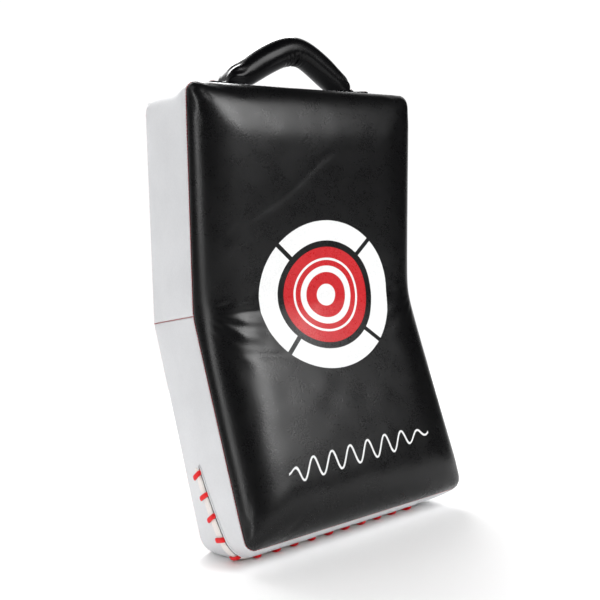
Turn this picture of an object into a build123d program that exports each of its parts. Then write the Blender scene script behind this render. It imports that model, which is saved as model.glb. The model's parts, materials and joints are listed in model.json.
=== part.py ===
from build123d import *
import math
import os

# A curved kick shield: a stuffed slab, bent at mid-height, with a carry handle on
# top, and a hand grip and two forearm loops on its back. Millimetres. X runs to the
# right across the strike face, Y runs back from it and Z is up. The shield stands on
# its rear bottom edge, which its weight presses flat. The origin is the middle of
# that flat heel.
#
# Places on the body are given by two measures: "along" is the distance from the bend
# (up the upper half or down the lower half) and "depth" is the distance behind the
# plane of the front seam, where the black face meets the silver gusset.

# ---- driving dimensions ----
WIDTH = 350
UPPER_LENGTH = 282          # bend to top edge, before the top's own crown
LOWER_LENGTH = 289          # bend to bottom edge, before the bottom's own crown
GUSSET_DEPTH = 122
FACE_CROWN = 30             # how far the strike face stands in front of the seam
BEND_ANGLE = 24
FORWARD_LEAN = 8            # of the upper half, as the shield stands
FACE_BEND_RADIUS = 125
CORNER_RADIUS = 30
FACE_EDGE_RADIUS = 27
TOP_CROWN = 4
BOTTOM_CROWN = 7
HEEL_PRESS = 5              # how far the rear bottom edge is pressed flat

COVER = 1.2                 # thickness of the artificial leather
LINING_GAP = 0.9            # between a cover and a reinforcement behind it
REINFORCEMENT = 1.5         # thickness of the webbing sheets inside the cover
FOAM_INSET = 4              # from the outside of the cover to the foam
IMPACT_FOAM_DEPTH = 8       # depths at which the three foam layers meet
BACKING_FOAM_DEPTH = 97

THREAD_PROUD = 0.4          # how far machine thread stands out of a seam
THREAD_WIDTH = 0.9
STITCH_LENGTH = 3
STITCH_PITCH = 4.5
STITCH_ROW_GAP = 6          # between the two rows of stitches across a tab
SEAM_MARGIN = 2.5           # from a panel's edge to its row of stitches

LACE_PITCH = 27.5
LACE_COUNT = 15
LACE_LENGTH = 21
LACE_WIDTH = 6
LACE_HEIGHT = 2.2
LACE_SLANT = 10
CLOSURE_START = 178         # along the lower half, where the stuffing slit begins
CLOSURE_SIDE_DEPTH = 77     # depth of the slit where it begins
CLOSURE_DEPTH = 57          # depth of the slit at the corner and along the bottom
CLOSURE_END_X = 128
TAPE_WIDTH = 16
TAPE_THICKNESS = 0.8
SLIT_WIDTH = 2.5

TAB_THICKNESS = 2.5
TAB_LIFT = 0.1              # a flat tab's clearance on the crowned top
HINGE_LIFT = 3              # a loop's swing axis, above the surface it is sewn to
GAP = 1                     # between a sewn end and the part that swings
PLAY = 0.2                  # between a cover's inside and what fills it
WHOLE_ARCH = 80             # degrees each side of the top, past both sewn ends
GRIP_STRAP = (12, 3)        # width and thickness of the webbing inside a grip

REACH = 500                 # longer than the shield, for cutting regions

os.makedirs("parts", exist_ok=True)


# ---- the bent frame of the body ----
def direction(degrees):
    """The direction in the side plane that leans back from straight up by degrees."""
    return Vector(0, math.sin(math.radians(degrees)), math.cos(math.radians(degrees)))


UP = direction(-FORWARD_LEAN)
DOWN = direction(-FORWARD_LEAN + BEND_ANGLE) * -1
BACK_UPPER = direction(90 - FORWARD_LEAN)
BACK_LOWER = direction(90 - FORWARD_LEAN + BEND_ANGLE)
MITRE = (BACK_UPPER + BACK_LOWER) * (1 / (1 + BACK_UPPER.dot(BACK_LOWER)))
BODY_DEPTH = GUSSET_DEPTH + FACE_CROWN
MID_DEPTH = GUSSET_DEPTH - BODY_DEPTH / 2


def arc_radius(chord, sagitta):
    """The radius of an arc of that chord and height."""
    return (chord ** 2 / 4 + sagitta ** 2) / (2 * sagitta)


def bend_position():
    """Where the bend's seam lies, so that the pressed heel is centred on the origin."""
    heel_corner = DOWN * LOWER_LENGTH + BACK_LOWER * GUSSET_DEPTH
    floor = heel_corner.Z + HEEL_PRESS
    rear = heel_corner.Y + HEEL_PRESS * BACK_LOWER.Z / -BACK_LOWER.Y
    radius = arc_radius(BODY_DEPTH, BOTTOM_CROWN)
    centre = DOWN * (LOWER_LENGTH + BOTTOM_CROWN - radius) + BACK_LOWER * MID_DEPTH
    front = centre.Y - math.sqrt(radius ** 2 - (floor - centre.Z) ** 2)
    return Vector(0, -(front + rear) / 2, -floor)


BEND = bend_position()


def upper(along, depth):
    return BEND + UP * along + BACK_UPPER * depth


def lower(along, depth):
    return BEND + DOWN * along + BACK_LOWER * depth


def at_bend(depth):
    return BEND + MITRE * depth


def prism(points, x_low=-REACH, x_high=REACH):
    """The block over a polygon in the side plane, from x_low to x_high."""
    face = make_face(Polyline(*points, close=True))
    return Pos(x_low, 0, 0) * extrude(face, amount=x_high - x_low, dir=(1, 0, 0))


def layer(front, back):
    """Everything between two depths, bent with the body."""
    return prism([
        upper(REACH, front), at_bend(front), lower(REACH, front),
        lower(REACH, back), at_bend(back), upper(REACH, back),
    ])


# ---- the stuffed body ----
def body_profile(inset):
    """The side outline of the body, shrunk by inset."""
    front = inset - FACE_CROWN
    back = GUSSET_DEPTH - inset
    top = UPPER_LENGTH - inset
    bottom = LOWER_LENGTH - inset
    radius = FACE_BEND_RADIUS + inset
    half_bend = math.radians(BEND_ANGLE / 2)
    run = radius * math.tan(half_bend)
    rise = radius / math.cos(half_bend) - radius
    valley = at_bend(front)
    valley_top = valley + UP * run
    valley_bottom = valley + DOWN * run
    valley_middle = valley - MITRE.normalized() * rise
    return make_face([
        Line(upper(top, front), valley_top),
        ThreePointArc(valley_top, valley_middle, valley_bottom),
        Line(valley_bottom, lower(bottom, front)),
        ThreePointArc(lower(bottom, front), lower(bottom + BOTTOM_CROWN, MID_DEPTH), lower(bottom, back)),
        Line(lower(bottom, back), at_bend(back)),
        Line(at_bend(back), upper(top, back)),
        ThreePointArc(upper(top, back), upper(top + TOP_CROWN, MID_DEPTH), upper(top, front)),
    ])


def end_edges(solid, side_x):
    """The top and bottom edges of the flat side at side_x."""
    side = solid.edges().filter_by(lambda edge: abs(edge.center().X - side_x) < 0.01)
    side = side.sort_by(lambda edge: edge.center().Z)
    return [side[0], side[-1]]


def face_border(solid):
    """The edges that go round the strike face."""
    faces = solid.faces().filter_by(lambda face: face.normal_at(face.center()).Y < -0.9)
    edges = [edge for face in faces for edge in face.edges()]
    return [edge for edge in edges if edges.count(edge) == 1]


def body_volume(inset):
    """The body's outside, shrunk by inset, standing on its pressed heel."""
    half_width = WIDTH / 2 - inset
    solid = extrude(body_profile(inset), amount=half_width, both=True)
    corners = end_edges(solid, half_width) + end_edges(solid, -half_width)
    solid = fillet(corners, CORNER_RADIUS - inset)
    solid = fillet(face_border(solid), FACE_EDGE_RADIUS - inset)
    above_floor = Box(REACH, 2 * REACH, 2 * REACH, align=(Align.CENTER, Align.CENTER, Align.MIN))
    return solid & (Pos(0, 0, max(inset, 0)) * above_floor)


def covers(outside):
    """The strike face, the back and the two halves of the gusset between them."""
    shell = outside - body_volume(COVER)
    gusset = shell & layer(0, GUSSET_DEPTH - COVER)
    upper_side = prism([at_bend(-REACH), at_bend(REACH), upper(REACH, REACH), upper(REACH, -REACH)])
    slit = closure_band(-TAPE_WIDTH / 2 - SLIT_WIDTH, -TAPE_WIDTH / 2)
    return {
        "front_cover": shell & layer(-2 * FACE_CROWN, 0),
        "back_cover": shell & layer(GUSSET_DEPTH - COVER, 2 * GUSSET_DEPTH),
        "gusset_upper": gusset & upper_side,
        "gusset_lower": gusset - upper_side - slit,
    }


def foams():
    """The three glued layers of foam that fill the covers."""
    filling = body_volume(FOAM_INSET)
    return {
        "impact_foam": filling & layer(-2 * FACE_CROWN, IMPACT_FOAM_DEPTH),
        "core_foam": filling & layer(IMPACT_FOAM_DEPTH, BACKING_FOAM_DEPTH),
        "backing_foam": filling & layer(BACKING_FOAM_DEPTH, GUSSET_DEPTH),
    }


# ---- machine stitching of the covers ----
def seam_threads(outside):
    """The thread along both edges of the gusset, and across its two joins."""
    skin = body_volume(-THREAD_PROUD) - outside
    half = THREAD_WIDTH / 2
    back_row = GUSSET_DEPTH - SEAM_MARGIN
    join = prism([at_bend(SEAM_MARGIN) + UP * half, at_bend(SEAM_MARGIN) - UP * half,
                  at_bend(back_row - 1) - UP * half, at_bend(back_row - 1) + UP * half])
    return {
        "front_seam_thread": skin & layer(-half, half),
        "back_seam_thread": skin & layer(back_row - half, back_row + half),
        "gusset_join_thread": skin & join,
    }


# ---- the laced closure of the stuffing slit ----
CLOSURE_CORNER = LOWER_LENGTH + BOTTOM_CROWN - CORNER_RADIUS


def closure_band(front, back):
    """The strip between two offsets from the closure's middle line, all through the body."""
    side = prism([
        lower(CLOSURE_START, CLOSURE_SIDE_DEPTH + front), lower(CLOSURE_CORNER, CLOSURE_DEPTH + front),
        lower(CLOSURE_CORNER, CLOSURE_DEPTH + back), lower(CLOSURE_START, CLOSURE_SIDE_DEPTH + back),
    ], x_high=0)
    bottom = prism([
        lower(CLOSURE_CORNER, CLOSURE_DEPTH + front), lower(REACH, CLOSURE_DEPTH + front),
        lower(REACH, CLOSURE_DEPTH + back), lower(CLOSURE_CORNER, CLOSURE_DEPTH + back),
    ], x_high=CLOSURE_END_X)
    return side + bottom


def closure_tape(outside):
    """The woven tape that backs the lacing, on the outside of the gusset."""
    skin = body_volume(-TAPE_THICKNESS) - outside
    return skin & closure_band(-TAPE_WIDTH / 2, TAPE_WIDTH / 2)


def closure_stop(distance):
    """The plane of the lacing at a distance along the closure, facing outwards."""
    straight = CLOSURE_CORNER - CLOSURE_START
    turn = math.pi / 2 * CORNER_RADIUS
    slope = (CLOSURE_DEPTH - CLOSURE_SIDE_DEPTH) / straight
    centre_x = CORNER_RADIUS - WIDTH / 2
    if distance < straight:
        place = lower(CLOSURE_START + distance, CLOSURE_SIDE_DEPTH + slope * distance)
        return Plane(Vector(-WIDTH / 2, 0, 0) + place, x_dir=BACK_LOWER, z_dir=(-1, 0, 0))
    angle = min((distance - straight) / CORNER_RADIUS, math.pi / 2)
    outward = Vector(-math.cos(angle), 0, 0) + DOWN * math.sin(angle)
    place = lower(CLOSURE_CORNER, CLOSURE_DEPTH) + Vector(centre_x, 0, 0) + outward * CORNER_RADIUS
    past = max(distance - straight - turn, 0)
    return Plane(place + Vector(past, 0, 0), x_dir=BACK_LOWER, z_dir=outward)


def closure_lacing():
    """The lace's short slanted bars over the tape, each a rounded bar with a flat underside."""
    bar = extrude(SlotOverall(LACE_LENGTH, LACE_WIDTH), amount=LACE_HEIGHT)
    bar = Rot(0, 0, LACE_SLANT) * (Pos(0, 0, TAPE_THICKNESS + 0.1) * bar)
    first = LACE_PITCH / 3
    stops = [closure_stop(first + LACE_PITCH * number) for number in range(LACE_COUNT)]
    return Compound(children=[stop * bar for stop in stops])


# ---- the handles and loops ----
class Loop:
    """A grip or band that stands off the body on two sewn ends and swings over sideways.

    In its own frame X is the line between the ends, which it swings about, Z points
    away from the body and the arch is an arc in the XZ plane.
    """

    def __init__(self, name, plane, span, height, free_height, tab_length, tab_width):
        self.name = name
        self.plane = plane
        self.radius = arc_radius(span, height)
        self.centre_z = height - self.radius
        self.span = span
        self.free_height = free_height
        self.tab_length = tab_length
        self.tab_width = tab_width
        self.tab_end = span / 2 + tab_length * 2 / 3

    def arch(self, section, degrees):
        """A section swept along the arch, to both sides of its top by degrees."""
        axis = Axis((0, 0, self.centre_z), (0, 1, 0))
        start = Plane((0, 0, self.centre_z + self.radius), x_dir=(0, 1, 0), z_dir=(1, 0, 0))
        swept = revolve(start * section, axis=axis, revolution_arc=2 * degrees)
        return swept.rotate(axis, -degrees)

    def swinging(self, solid):
        """What swings: the part of a solid that is far enough from the body to turn freely."""
        clear = Box(REACH, REACH, REACH, align=(Align.CENTER, Align.CENTER, Align.MIN))
        return self.plane * (solid & (Pos(0, 0, self.free_height) * clear))

    def sewn_end(self, solid, side):
        """A tab sewn to the body, with the foot of the loop that stays upright on it."""
        foot_space = Rot(0, 90, 0) * Cylinder(self.free_height - GAP, REACH)
        upright = Box(REACH, REACH, REACH, align=(Align.MIN, Align.CENTER, Align.MIN))
        upright = Pos(0, 0, -HINGE_LIFT + TAB_LIFT) * upright
        foot = solid & foot_space & upright
        tab = Pos(self.tab_end, 0, -HINGE_LIFT + TAB_LIFT) * Box(
            self.tab_length, self.tab_width, TAB_THICKNESS, align=(Align.MAX, Align.CENTER, Align.MIN))
        end = foot + tab
        return self.plane * (end if side > 0 else mirror(end, Plane.YZ))

    def stitches(self):
        """Two rows of stitches across each tab, outside the foot."""
        stitch = Box(THREAD_WIDTH, STITCH_LENGTH, THREAD_PROUD, align=(Align.CENTER, Align.CENTER, Align.MIN))
        level = TAB_LIFT + TAB_THICKNESS - HINGE_LIFT
        count = int(self.tab_width / STITCH_PITCH) - 1
        outer_x = self.tab_end - 4
        pieces = []
        for x in (outer_x, outer_x - STITCH_ROW_GAP, STITCH_ROW_GAP - outer_x, -outer_x):
            for number in range(count):
                y = (number - (count - 1) / 2) * STITCH_PITCH
                pieces.append(self.plane * (Pos(x, y, level) * stitch))
        return Compound(children=pieces)

    def reinforcement(self, x_margin=12, y_margin=8):
        """The webbing sheet inside the cover that both tabs are sewn through to."""
        length = 2 * (self.tab_end + x_margin)
        depth = HINGE_LIFT + COVER + LINING_GAP + REINFORCEMENT
        sheet = Box(length, self.tab_width + 2 * y_margin, REINFORCEMENT,
                    align=(Align.CENTER, Align.CENTER, Align.MIN))
        return self.plane * (Pos(0, 0, -depth) * sheet)


def fixed_pieces(loop, foot):
    """The pieces of a loop that stay on the body."""
    return {
        f"{loop.name}_tab_left": loop.sewn_end(foot, -1),
        f"{loop.name}_tab_right": loop.sewn_end(foot, 1),
        f"{loop.name}_stitches": loop.stitches(),
        f"{loop.name}_reinforcement": loop.reinforcement(),
    }


def grip(loop, tube_radius, full_degrees, end_degrees, end_radius):
    """A padded tube on a webbing strap, its ends pinched thin where they meet the tabs."""
    def tube(radius, pinched_radius):
        def disc(degrees, disc_radius):
            angle = math.radians(degrees)
            along = Vector(math.cos(angle), 0, -math.sin(angle))
            centre = Vector(loop.radius * math.sin(angle), 0, loop.centre_z + loop.radius * math.cos(angle))
            return Plane(centre, x_dir=(0, 1, 0), z_dir=along) * Circle(disc_radius)
        middle = loop.arch(Circle(radius), full_degrees)
        end = loft([disc(full_degrees, radius), disc(end_degrees, pinched_radius)])
        return middle + end + mirror(end, Plane.YZ)

    lining = COVER + PLAY
    strap_width, strap_thickness = GRIP_STRAP
    strap = loop.arch(Rectangle(strap_width, strap_thickness), WHOLE_ARCH)
    strap_hole = loop.arch(Rectangle(strap_width + 2 * PLAY, strap_thickness + 2 * PLAY), WHOLE_ARCH)
    outside = tube(tube_radius, end_radius)
    return {
        f"{loop.name}_cover": loop.swinging(outside - tube(tube_radius - COVER, end_radius - COVER)),
        f"{loop.name}_foam": loop.swinging(tube(tube_radius - lining, end_radius - lining) - strap_hole),
        f"{loop.name}_webbing": loop.swinging(strap),
        **fixed_pieces(loop, strap),
    }


def band(loop, width, thickness, strap_width, strap_thickness):
    """A wide padded band: a cover round a foam pad, with a webbing strap on its outer side."""
    def section(section_width, low, high):
        return Pos(0, (low + high) / 2) * Rectangle(section_width, high - low)

    half = thickness / 2
    inner = half - COVER
    inner_width = width - 2 * COVER
    outside = loop.arch(section(width, -half, half), WHOLE_ARCH)
    hollow = loop.arch(section(inner_width, -inner, inner), WHOLE_ARCH)
    split = inner - PLAY - strap_thickness
    foam = loop.arch(section(inner_width - 2 * PLAY, PLAY - inner, split - PLAY), WHOLE_ARCH)
    strap = loop.arch(section(strap_width, split, inner - PLAY), WHOLE_ARCH)
    return {
        f"{loop.name}_cover": loop.swinging(outside - hollow),
        f"{loop.name}_foam": loop.swinging(foam),
        f"{loop.name}_webbing": loop.swinging(strap),
        **fixed_pieces(loop, outside),
    }


def top_handle():
    """The carry handle, across the top of the upper half."""
    depth = 41
    crown = TOP_CROWN * (1 - ((depth - MID_DEPTH) / (BODY_DEPTH / 2)) ** 2)
    plane = Plane(upper(UPPER_LENGTH + crown + HINGE_LIFT, depth), x_dir=(1, 0, 0), z_dir=UP)
    loop = Loop("top_handle", plane, span=164, height=49, free_height=13, tab_length=70, tab_width=36)
    return grip(loop, tube_radius=18.5, full_degrees=40, end_degrees=50, end_radius=9)


def back_plane(along, half):
    """The plane of a loop sewn to the back, at a distance from the bend on one half."""
    if half == "upper":
        place = at_bend(GUSSET_DEPTH) + UP * along + BACK_UPPER * HINGE_LIFT
        return Plane(place, x_dir=(1, 0, 0), z_dir=BACK_UPPER)
    place = at_bend(GUSSET_DEPTH) + DOWN * along + BACK_LOWER * HINGE_LIFT
    return Plane(place, x_dir=(1, 0, 0), z_dir=BACK_LOWER)


def rear_grip():
    """The grip that the hand holds, near the top of the back."""
    loop = Loop("rear_grip", back_plane(235, "upper"), span=136, height=48, free_height=13,
                tab_length=48, tab_width=36)
    return grip(loop, tube_radius=15, full_degrees=46, end_degrees=58, end_radius=9)


def forearm_loop(name, along, half):
    """A padded band across the back that the forearm goes through."""
    loop = Loop(name, back_plane(along, half), span=196, height=63, free_height=29.5,
                tab_length=48, tab_width=56)
    return band(loop, width=54, thickness=12, strap_width=38, strap_thickness=2)


def build():
    """Every node of the shield, by name."""
    outside = body_volume(0)
    nodes = {}
    nodes.update(covers(outside))
    nodes.update(foams())
    nodes.update(seam_threads(outside))
    nodes["closure_tape"] = closure_tape(outside)
    nodes["closure_lacing"] = closure_lacing()
    nodes.update(top_handle())
    nodes.update(rear_grip())
    nodes.update(forearm_loop("upper_arm_loop", 75, "upper"))
    nodes.update(forearm_loop("lower_arm_loop", 120, "lower"))
    return nodes


for name, solid in build().items():
    export_step(solid, f"parts/{name}.step")
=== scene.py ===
import json
import math

import bpy
import numpy as np
from mathutils import Matrix, Vector
from mathutils.bvhtree import BVHTree

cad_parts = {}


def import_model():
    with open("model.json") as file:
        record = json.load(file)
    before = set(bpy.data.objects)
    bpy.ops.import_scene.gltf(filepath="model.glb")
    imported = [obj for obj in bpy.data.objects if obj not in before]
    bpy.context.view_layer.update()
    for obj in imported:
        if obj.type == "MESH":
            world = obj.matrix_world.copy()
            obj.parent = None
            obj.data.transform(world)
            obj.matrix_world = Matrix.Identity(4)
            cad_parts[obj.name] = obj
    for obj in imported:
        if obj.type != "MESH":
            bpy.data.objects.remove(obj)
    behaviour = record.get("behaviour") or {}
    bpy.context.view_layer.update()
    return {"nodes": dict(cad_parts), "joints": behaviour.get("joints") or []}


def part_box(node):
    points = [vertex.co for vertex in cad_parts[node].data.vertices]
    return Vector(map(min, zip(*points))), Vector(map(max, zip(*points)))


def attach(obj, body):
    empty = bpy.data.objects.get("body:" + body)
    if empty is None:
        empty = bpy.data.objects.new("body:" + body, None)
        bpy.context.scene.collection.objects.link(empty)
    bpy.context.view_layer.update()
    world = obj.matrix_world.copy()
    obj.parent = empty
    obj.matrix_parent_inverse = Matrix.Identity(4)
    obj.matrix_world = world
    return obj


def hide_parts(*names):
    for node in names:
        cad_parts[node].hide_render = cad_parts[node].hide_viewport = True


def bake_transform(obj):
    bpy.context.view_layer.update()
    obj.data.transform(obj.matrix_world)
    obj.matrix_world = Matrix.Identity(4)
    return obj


# A curved kick shield in black and silver artificial leather. Metres, in the frame of
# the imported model: X to the right across the strike face, Y back from it, Z up.
#
# Places on the body are given as (x, s, q): x across, s along the bent middle line
# (up from the bend is positive, down is negative) and q behind the front seam.

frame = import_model()

MM = 0.001

# ---- the body's dimensions, as designed ----
LEAN = math.radians(8)                # the upper half leans forward
BEND_ANGLE = math.radians(24)
GUSSET_DEPTH = 122 * MM
FACE_CROWN = 30 * MM
EDGE_RADIUS = 28.5 * MM               # of the corners and of the strike face's edges
UPPER_LENGTH = 282 * MM
LOWER_LENGTH = 289 * MM
TOP_CROWN = 4 * MM
BOTTOM_CROWN = 7 * MM
COVER = 1.2 * MM
MID_DEPTH = (GUSSET_DEPTH - FACE_CROWN) / 2
BODY_DEPTH = GUSSET_DEPTH + FACE_CROWN

# ---- the sewn body's softness ----
REAR_SEAM_SET_IN = 3.5 * MM           # the rear seam lies this far in front of the back panel
REAR_SEAM = GUSSET_DEPTH - REAR_SEAM_SET_IN
REAR_ROUND_WIDTH = 12 * MM
SHARP_BEND = 3 * MM                   # how soft the bend is at the seam, and at the strike face
SOFT_BEND = 32 * MM
MITRE_LENGTH = 150 * MM               # the length over which the bend's mitre fades in
CROWN_LENGTH = 60 * MM                # the length over which the top and bottom are crowned
BOTTOM_SWELL = 9.5 * MM               # how far the stuffed bottom stands below its ends
BOTTOM_SWELL_MARGIN = 4 * MM
FRONT_CORNER = 14 * MM                # the corner radius at the strike face's seam
FRONT_CORNER_DEPTH = 40 * MM          # the depth over which it grows to the edge radius
PILLOW_EDGE = 66 * MM                 # how far the strike face's rounding reaches in from its seam
PILLOW_CORNER = 4.8                   # the exponent of its outline, squarer than an oval
SIDE_BULGE = 3 * MM
BULGE_END = 90 * MM                   # the length at each end over which the bulge fades out
BULGE_HELD = 0.55                     # the share of the bulge that the join's seam holds back
BULGE_HELD_REACH = 45 * MM            # how far from the join it does so
SEAM_DIP = 1.3 * MM
SEAM_DIP_WIDTH = 2.6 * MM
SEAM_TURN_IN = 2.5 * MM               # the depth of a panel's edge that is turned in at its seam
BODY_STEP = 7.8 * MM                  # the grid that the cloth simulation runs on
SWELL_LIMIT = 2.5 * MM                # the most that the stuffing pushes a panel out
BACK_SWELL_LIMIT = 0.7 * MM           # the back is held flat by what is sewn to it
CLOTH_PRESSURE = 4
CLOTH_FRAMES = 20
FLOOR_SOFTNESS = 0.8 * MM
SAME_PLACE = 0.1 * MM                 # places closer than this are on the same seam


def side_direction(angle):
    """The direction in the side plane that leans back from straight up by angle."""
    return np.array([0, math.sin(angle), math.cos(angle)])


UP = side_direction(-LEAN)
DOWN = -side_direction(BEND_ANGLE - LEAN)
BACK_UPPER = side_direction(math.pi / 2 - LEAN)
BACK_LOWER = side_direction(math.pi / 2 + BEND_ANGLE - LEAN)
MITRE = (BACK_UPPER + BACK_LOWER) / (1 + BACK_UPPER @ BACK_LOWER)
HALF_BEND_TAN = math.tan(BEND_ANGLE / 2)
RIGHT = np.array([1.0, 0.0, 0.0])

HALF_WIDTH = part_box("front_cover")[1].x
BEND = np.array([
    0,
    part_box("gusset_upper")[1].y - MITRE[1] * (GUSSET_DEPTH - COVER),
    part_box("gusset_lower")[1].z,
])
HINGES = {joint["child"]: np.array(joint["pos_m"]) for joint in frame["joints"]}


# ---- small helpers on arrays ----
def smooth(t):
    """0 below 0, 1 above 1 and a smooth rise between."""
    t = np.clip(t, 0, 1)
    return t * t * (3 - 2 * t)


def bump(t):
    """1 at 0, falling smoothly to 0 at plus and minus 1."""
    return smooth(1 - np.abs(t))


def soft_noise(points, size, seed):
    """Smooth random values from -1 to 1 at points, varying over about size."""
    grid = np.random.default_rng(seed).uniform(-1, 1, (32, 32, 32))
    place = np.asarray(points) / size + 1000
    cell = np.floor(place).astype(int)
    part = place - cell
    part = part * part * (3 - 2 * part)
    total = np.zeros(place.shape[:-1])
    for corner in range(8):
        step = np.array([corner & 1, corner >> 1 & 1, corner >> 2 & 1])
        weight = np.where(step, part, 1 - part).prod(-1)
        index = (cell + step) % 32
        total += weight * grid[index[..., 0], index[..., 1], index[..., 2]]
    return total


def unit(vectors):
    """Vectors made one long."""
    return vectors / np.maximum(np.linalg.norm(vectors, axis=-1, keepdims=True), 1e-12)


def soft_maximum(value, low, softness):
    """The larger of value and low, with a soft change between them."""
    return low + (value - low + np.sqrt((value - low) ** 2 + softness ** 2)) / 2


def distance_along(line):
    """How far along a line each of its points is."""
    return np.concatenate([[0], np.cumsum(np.linalg.norm(np.diff(line, axis=0), axis=1))])


def at_distance(line, distance, stops):
    """The places on a line at some distances along it."""
    return np.stack([np.interp(stops, distance, column) for column in line.T], -1)


# ---- from (x, s, q) to the world ----
def bent(x, s, q):
    """World places of body places. The bend is sharp at the seam and soft at the strike face."""
    x, s, q = np.broadcast_arrays(*[np.asarray(value, float) for value in (x, s, q)])
    reach = s + np.sign(s) * q * HALF_BEND_TAN * smooth(np.abs(s) / MITRE_LENGTH)
    soft = SHARP_BEND + (SOFT_BEND - SHARP_BEND) * smooth(-q / FACE_CROWN)
    root = np.sqrt(reach ** 2 + soft ** 2)
    place = (BEND + MITRE * q[..., None] + UP * ((root + reach) / 2)[..., None]
             + DOWN * ((root - reach) / 2)[..., None])
    place[..., 0] = x
    return place


def end_crown(s, q):
    """How far the crowned top and bottom stand beyond the flat ends, near the ends."""
    arch = 1 - ((q - MID_DEPTH) / (BODY_DEPTH / 2)) ** 2
    half_depth = GUSSET_DEPTH / 2
    under = np.clip(1 - ((q - half_depth) / (half_depth + BOTTOM_SWELL_MARGIN)) ** 2, 0, 1)
    near_top = smooth((s - UPPER_LENGTH) / CROWN_LENGTH + 1)
    near_bottom = smooth((-s - LOWER_LENGTH) / CROWN_LENGTH + 1)
    return arch * TOP_CROWN * near_top - under * BOTTOM_SWELL * near_bottom


def from_edge(x, s):
    """How far inside the nearest edge of the body's outline a place is."""
    return np.minimum.reduce([HALF_WIDTH - np.abs(x), UPPER_LENGTH - s, LOWER_LENGTH + s])


def sharper_corners(x, s, q):
    """x and s moved outwards near the four corners, which are tighter at the strike face's seam."""
    end = np.where(s > 0, UPPER_LENGTH, LOWER_LENGTH)
    beyond_x = np.maximum(np.abs(x) - HALF_WIDTH + EDGE_RADIUS, 0)
    beyond_s = np.maximum(np.abs(s) - end + EDGE_RADIUS, 0)
    reach = np.maximum(np.hypot(beyond_x, beyond_s), 1e-9)
    move = (EDGE_RADIUS - FRONT_CORNER) * smooth(1 - q / FRONT_CORNER_DEPTH)
    move *= np.minimum(reach / EDGE_RADIUS, 1) ** 2 * (beyond_x > 0) * (beyond_s > 0)
    return (x + np.sign(x) * move * (1 - beyond_x / reach),
            s + np.sign(s) * move * (1 - beyond_s / reach))


def side_bulge(x, s, q):
    """How far the stuffed gusset bulges out between its seams."""
    across = np.clip(q / REAR_SEAM, 0, 1)
    arch = 4 * across * (1 - across)
    ends = smooth((UPPER_LENGTH - s) / BULGE_END) * smooth((LOWER_LENGTH + s) / BULGE_END)
    held = 1 - BULGE_HELD * bump(s / BULGE_HELD_REACH)
    on_side = np.abs(x) > HALF_WIDTH - 2 * MM
    return SIDE_BULGE * arch * ends * held * np.sign(x) * on_side


# ---- meshes ----
def new_piece(name, points, faces, materials=(), tags=None, place=None):
    """A smooth mesh object. tags gives each face its material, place a vector on each vertex."""
    mesh = bpy.data.meshes.new(name)
    mesh.from_pydata([tuple(point) for point in points], [], [tuple(face) for face in faces])
    for material in materials:
        mesh.materials.append(material)
    if tags is not None:
        mesh.polygons.foreach_set("material_index", np.asarray(tags, np.int32))
    mesh.polygons.foreach_set("use_smooth", np.ones(len(mesh.polygons), bool))
    if place is not None:
        attribute = mesh.attributes.new("place", "FLOAT_VECTOR", "POINT")
        attribute.data.foreach_set("vector", np.asarray(place, np.float32).ravel())
    mesh.update()
    piece = bpy.data.objects.new(name, mesh)
    bpy.context.scene.collection.objects.link(piece)
    return piece


def grid_faces(index, flip=False):
    """The quads of a rectangular array of vertex numbers."""
    quads = np.stack([index[:-1, :-1], index[1:, :-1], index[1:, 1:], index[:-1, 1:]], -1)
    quads = quads.reshape(-1, 4)
    return quads[:, ::-1] if flip else quads


def tube_faces(rings, sides, flip):
    """The faces of a tube of rings of vertices, closed at both ends."""
    index = np.arange(rings * sides).reshape(rings, sides)
    faces = [*grid_faces(np.concatenate([index, index[:, :1]], 1), flip)]
    step = -1 if flip else 1
    return [tuple(face) for face in [*faces, index[0, ::step], index[-1, ::-step]]]


def signed_power(value, power):
    """A power of the size of a number, with the number's own sign."""
    return np.abs(value) ** power * np.sign(value)


# ---- the stuffed body as a rounded block ----
def corner_steps(step):
    """Grid coordinates through a rounded edge, even by angle, as distances from its start."""
    count = max(4, round(math.pi / 4 * EDGE_RADIUS / step))
    return EDGE_RADIUS * np.tan(math.pi / 4 * np.arange(count, 0, -1) / count)


def rounded_steps(low, high, step, breaks=()):
    """Grid coordinates from low to high, with the steps of a rounded edge at both ends."""
    corner = corner_steps(step)
    stops = [low + EDGE_RADIUS, *breaks, high - EDGE_RADIUS]
    middle = [np.linspace(start, end, max(2, round((end - start) / step)) + 1)[:-1]
              for start, end in zip(stops, stops[1:])]
    return np.concatenate([stops[0] - corner, *middle, stops[-1:], stops[-1] + corner[::-1]])


def pillow_profile(x, s):
    """The strike face's height over its rim as a share of the full height: an oval edge profile."""
    from_side = (HALF_WIDTH - np.abs(x)) / PILLOW_EDGE
    from_end = np.minimum(UPPER_LENGTH - s, LOWER_LENGTH + s) / PILLOW_EDGE
    power = PILLOW_CORNER
    near = np.clip(1 - from_side, 0, 1) ** power + np.clip(1 - from_end, 0, 1) ** power
    return np.sqrt(1 - np.minimum(near ** (1 / power), 1) ** 2)


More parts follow.
